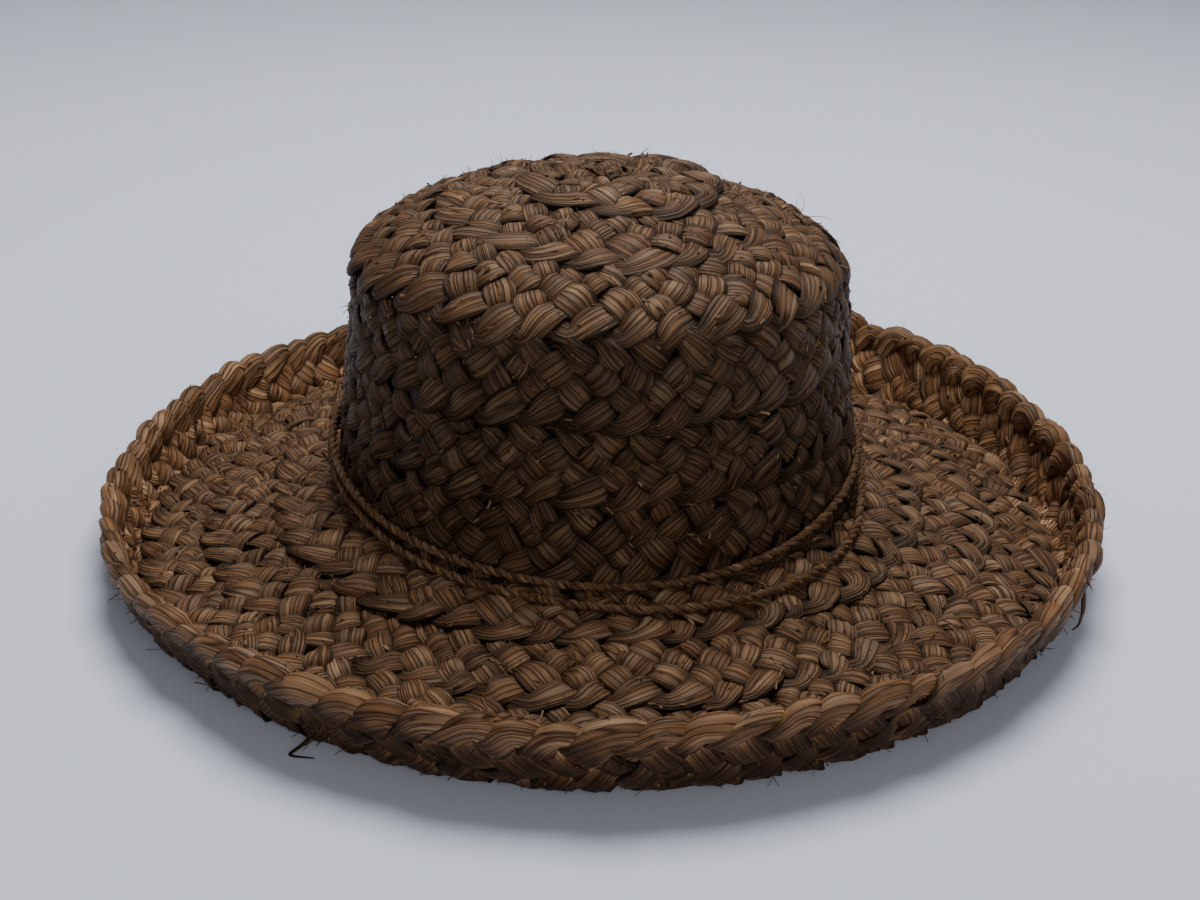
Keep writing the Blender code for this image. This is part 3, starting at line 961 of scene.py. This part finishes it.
def makeCord(name, nodeName, lower, seed):
    route = cordRoute(lower)
    points, along, length = resample(route, cordSizes["sample"])
    lines = BundleLines()
    pliedLines(lines, points, along, seed, cordSizes)
    look = cordBundle | {"Groove Depth": 0.00016}
    piece = runTree(name, lines.mesh(name + "Lines"), bundleTree, look)
    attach(piece, "root")
    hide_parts(nodeName)
    return piece, route, length


def makeKnot():
    # both turns are bound by about two and a half wraps of cord
    radius, height = cordSeat(cordSizes["climb"] - cordSpacing / 2, 0.0)
    centre = placeOnHat(np.float64(radius), np.float64(height), math.pi / 2)
    angle = np.linspace(*knotSizes["wraps"], knotSizes["points"]) * 2 * math.pi
    x = np.linspace(-knotSizes["halfLength"], knotSizes["halfLength"], knotSizes["points"])
    up = np.sin(angle) * (cordSpacing / 2 + knotSizes["reach"])
    out = np.cos(angle) * knotSizes["out"] + knotSizes["outShift"]
    points = np.stack([centre[0] + x, centre[1] + out - up * math.tan(sideSlope), centre[2] + up], axis=1)
    points, along, _ = resample(points, knotSizes["sample"])
    lines = BundleLines()
    pliedLines(lines, points, along, 30, cordSizes | knotSizes, up=(1, 0, 0))
    look = cordBundle | {"Groove Depth": 0.00012}
    piece = runTree("cordKnot", lines.mesh("cordKnotLines"), bundleTree, look)
    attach(piece, "root")
    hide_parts("cord_knot")
    return piece


knot = makeKnot()
cords = (("cordUpper", "cord_upper", False, 21), ("cordLower", "cord_lower", True, 25))
for name, nodeName, lower, seed in cords:
    piece, route, length = makeCord(name, nodeName, lower, seed)
    print("%s is %.3f m long" % (name, length))

# the camera that stands where the photo was taken from
view = {
    "target": (-0.00107, 0.00090, 0.02857),
    "distance": 0.64807,
    "elevation": 24.262,
    "roll": 1.122,
    "lens": 52.55,
}
elevation, roll = math.radians(view["elevation"]), math.radians(view["roll"])
back = Vector((0, -math.cos(elevation), math.sin(elevation)))
right = Vector((1, 0, 0))
upward = back.cross(right)
camera = bpy.data.cameras.new("camera")
camera.lens = view["lens"]
camera.sensor_width = 36
cameraObject = bpy.data.objects.new("camera", camera)
turned = Matrix((
    right * math.cos(roll) + upward * math.sin(roll),
    -right * math.sin(roll) + upward * math.cos(roll),
    back,
)).transposed()
moved = Matrix.Translation(Vector(view["target"]) + back * view["distance"])
cameraObject.matrix_world = moved @ turned.to_4x4()
bpy.context.scene.collection.objects.link(cameraObject)
bpy.context.scene.camera = cameraObject

# how the wall is searched for the point that shows at one of the photo's pixels
search = {
    "photoSize": (1200, 900),
    "rows": (0.05, 10.2, 500),  # from, to and how many
    "angles": (0, 2 * math.pi, 1440),
    "lift": 0.003,
    "facing": -0.15,  # what faces further away than this is hidden
    "within": 9,  # square pixels
}
searchAngles = np.linspace(*search["angles"], endpoint=False)
searchRows, searchAngles = np.meshgrid(np.linspace(*search["rows"]), searchAngles, indexing="ij")
searchPoints, searchOutward = wallAt(searchRows, searchAngles, search["lift"])
towards = np.array(cameraObject.matrix_world.translation) - searchPoints
searchDistance = np.linalg.norm(towards, axis=-1)
hidden = (towards * searchOutward).sum(axis=-1) / searchDistance <= search["facing"]
inView = np.array(cameraObject.matrix_world.inverted())
seen = searchPoints @ inView[:3, :3].T + inView[:3, 3]
pixelSize = -seen[..., 2] * camera.sensor_width / camera.lens / search["photoSize"][0]
pixelAcross = search["photoSize"][0] / 2 + seen[..., 0] / pixelSize
pixelDown = search["photoSize"][1] / 2 - seen[..., 1] / pixelSize


def placeInPhoto(across, down):
    # the row and the angle of the wall's front-most point near one of the photo's pixels
    off = np.where(hidden, np.inf, (pixelAcross - across) ** 2 + (pixelDown - down) ** 2)
    near = np.where(off < off.min() + search["within"], searchDistance, np.inf)
    index = np.unravel_index(np.argmin(near), near.shape)
    return searchRows[index], searchAngles[index]


# single stray fibres where the photo shows them: the pixel that a bunch starts at, read off the photo,
# and for each fibre its steps in mm to +X, +Y and up, and its half width in mm
strayShape = {"lift": 0.0010, "apart": 0.01, "cornerStep": 0.0004, "sample": 0.0009, "taper": 0.7}
strays = {
    "topRight": {"pixel": (800, 212), "fibres": (
        (((5, 0, 1.2), (5, 0, 0.2), (3.5, 0, -1.8)), 0.24),
        (((2, 0, 2.5), (1, 0, 4), (-2.5, 0, 3.5)), 0.26),
    )},
    "rightShoulder": {"pixel": (845, 290), "fibres": (
        (((4, 0, 0.5), (3.5, 0, -1.5)), 0.18),
        (((3, 0, 1), (1.5, 0, 2)), 0.18),
    )},
    "topMiddle": {"pixel": (600, 157), "fibres": (
        (((0.5, 0, 3), (1.5, 0, 2.5)), 0.15),
        (((1, 0, 3), (2, 0, 1.5)), 0.15),
    )},
    "topLeft": {"pixel": (505, 160), "fibres": (
        (((-0.5, 0, 4), (2.5, 0, 2.5), (2, 0, -2)), 0.18),
        (((-1.5, 0, 3), (-0.5, 0, 3.5)), 0.16),
        (((-2, 0, 3), (-1, 0, 2.5)), 0.14),
    )},
    "leftOfCrown": {"pixel": (345, 308), "fibres": (
        (((-3, 0, 0.8), (-2, 0, -1)), 0.20),
    )},
    "frayedFront": {"pixel": (470, 440), "pale": True, "fibres": (
        (((-3.5, -3, 1.5), (-4, -1, 1)), 0.26),
        (((-3, -3.5, 0.5), (-4.5, -0.5, -0.8)), 0.30),
        (((-3, -3, -0.5), (-3.5, -0.5, -2.5)), 0.24),
        (((-2, -3, 2), (-3, -1, 2.6)), 0.22),
    )},
    "hangingRight": {"pixel": (1086, 585), "fibres": (
        (((1.5, -1, -2), (0.5, -1, -6), (-1, -1, -5.5), (-2.2, -0.5, -1.5)), 1.80),
        (((2.5, -0.5, 0.5), (1.5, -0.5, -3)), 0.40),
    )},
    "rightEnd": {"pixel": (1097, 487), "fibres": (
        (((3.5, 0, 1.2), (2.5, 0, -1)), 0.16),
        (((2.5, 0, 2), (2, 0, 2)), 0.14),
    )},
    "rightEndBelow": {"pixel": (1100, 525), "fibres": (
        (((3.5, -0.5, 0.6), (2, 0, 1.5)), 0.15),
    )},
    "leftEndBelow": {"pixel": (118, 602), "fibres": (
        (((-3, -2, 1.5), (-3, -1, 0.5)), 0.75),
    )},
    "leftEnd": {"pixel": (108, 520), "fibres": (
        (((-3, 0, 0.6), (-2, 0, 1.4)), 0.30),
    )},
    "curledFrontLeft": {"pixel": (305, 745), "fibres": (
        (((-2, -5, -1.6), (-4.5, -6, -1.8), (0.5, -0.6, -0.3), (7.5, -1, 0.1)), 0.90),
        (((0.5, -3, -2), (-1, -2.5, -2)), 0.32),
    )},
}


def makeStrays():
    seed = 60
    for name, pale, material in (("darkStrays", False, darkStraw), ("paleStrays", True, brimStraw)):
        lines = BundleLines()
        for bunch in strays.values():
            if bunch.get("pale", False) != pale:
                continue
            row, azimuth = placeInPhoto(*bunch["pixel"])
            for steps, half in bunch["fibres"]:
                start, outward = wallAt(row, azimuth, strayShape["lift"])
                corners = start + np.cumsum([(0, 0, 0), *steps], axis=0) / 1000
                points = resample(corners, strayShape["cornerStep"])[0]
                for _ in range(3):  # rounds the corners
                    points[2:-2] = sum(points[i:len(points) - 4 + i] for i in range(5)) / 5
                points, along, length = resample(points, strayShape["sample"])
                width = half / 1000 * (1 - strayShape["taper"] * (along / length) ** 2)
                lines.add(points, outward, width, width * 0.5, along, seed=seed)
                azimuth += strayShape["apart"]
                seed += 1
        piece = runTree(name, lines.mesh(name + "Lines"), bundleTree, {
            "Points Round": 6, "Ribbons": 1.0, "Groove Depth": 0.00008, "Squareness": 1.0,
            "Material": material,
        }, drop=("run",))
        settle(piece)
        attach(piece, "root")


makeStrays()

# floor and light
floorMesh = bpy.data.meshes.new("floor")
floorMesh.from_pydata([(-4, -4, 0), (4, -4, 0), (4, 4, 0), (-4, 4, 0)], [], [(0, 1, 2, 3)])
floor = bpy.data.objects.new("floor", floorMesh)
bpy.context.scene.collection.objects.link(floor)
floorPaint = bpy.data.materials.new("floorPaint")
floorPaint.use_nodes = True
floorShader = floorPaint.node_tree.nodes["Principled BSDF"]
floorShader.inputs["Base Color"].default_value = (0.66, 0.70, 0.80, 1)
floorShader.inputs["Roughness"].default_value = 0.85
floorMesh.materials.append(floorPaint)
floor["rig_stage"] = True

lightAim = Vector((0, 0, 0.05))
lights = {
    "top": {"at": (0.08, 0.40, 1.30), "size": 0.9, "power": 23.5},
    "front": {"at": (0.25, -1.40, 0.45), "size": 1.2, "power": 7.4},
}
for name, light in lights.items():
    lamp = bpy.data.lights.new(name, "AREA")
    lamp.shape = "DISK"
    lamp.size = light["size"]
    lamp.energy = light["power"]
    lampObject = bpy.data.objects.new(name, lamp)
    lampObject.location = light["at"]
    lampObject.rotation_euler = (lightAim - lampObject.location).to_track_quat("-Z", "Y").to_euler()
    bpy.context.scene.collection.objects.link(lampObject)

world = bpy.data.worlds.new("studio")
world.use_nodes = True
world.node_tree.nodes["Background"].inputs["Color"].default_value = (0.89, 0.92, 1.0, 1)
world.node_tree.nodes["Background"].inputs["Strength"].default_value = 0.20
bpy.context.scene.world = world

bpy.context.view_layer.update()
added = [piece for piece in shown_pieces() if "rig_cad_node" not in piece]
print("triangles in all:", sum(len(face.vertices) - 2 for piece in added for face in piece.data.polygons))
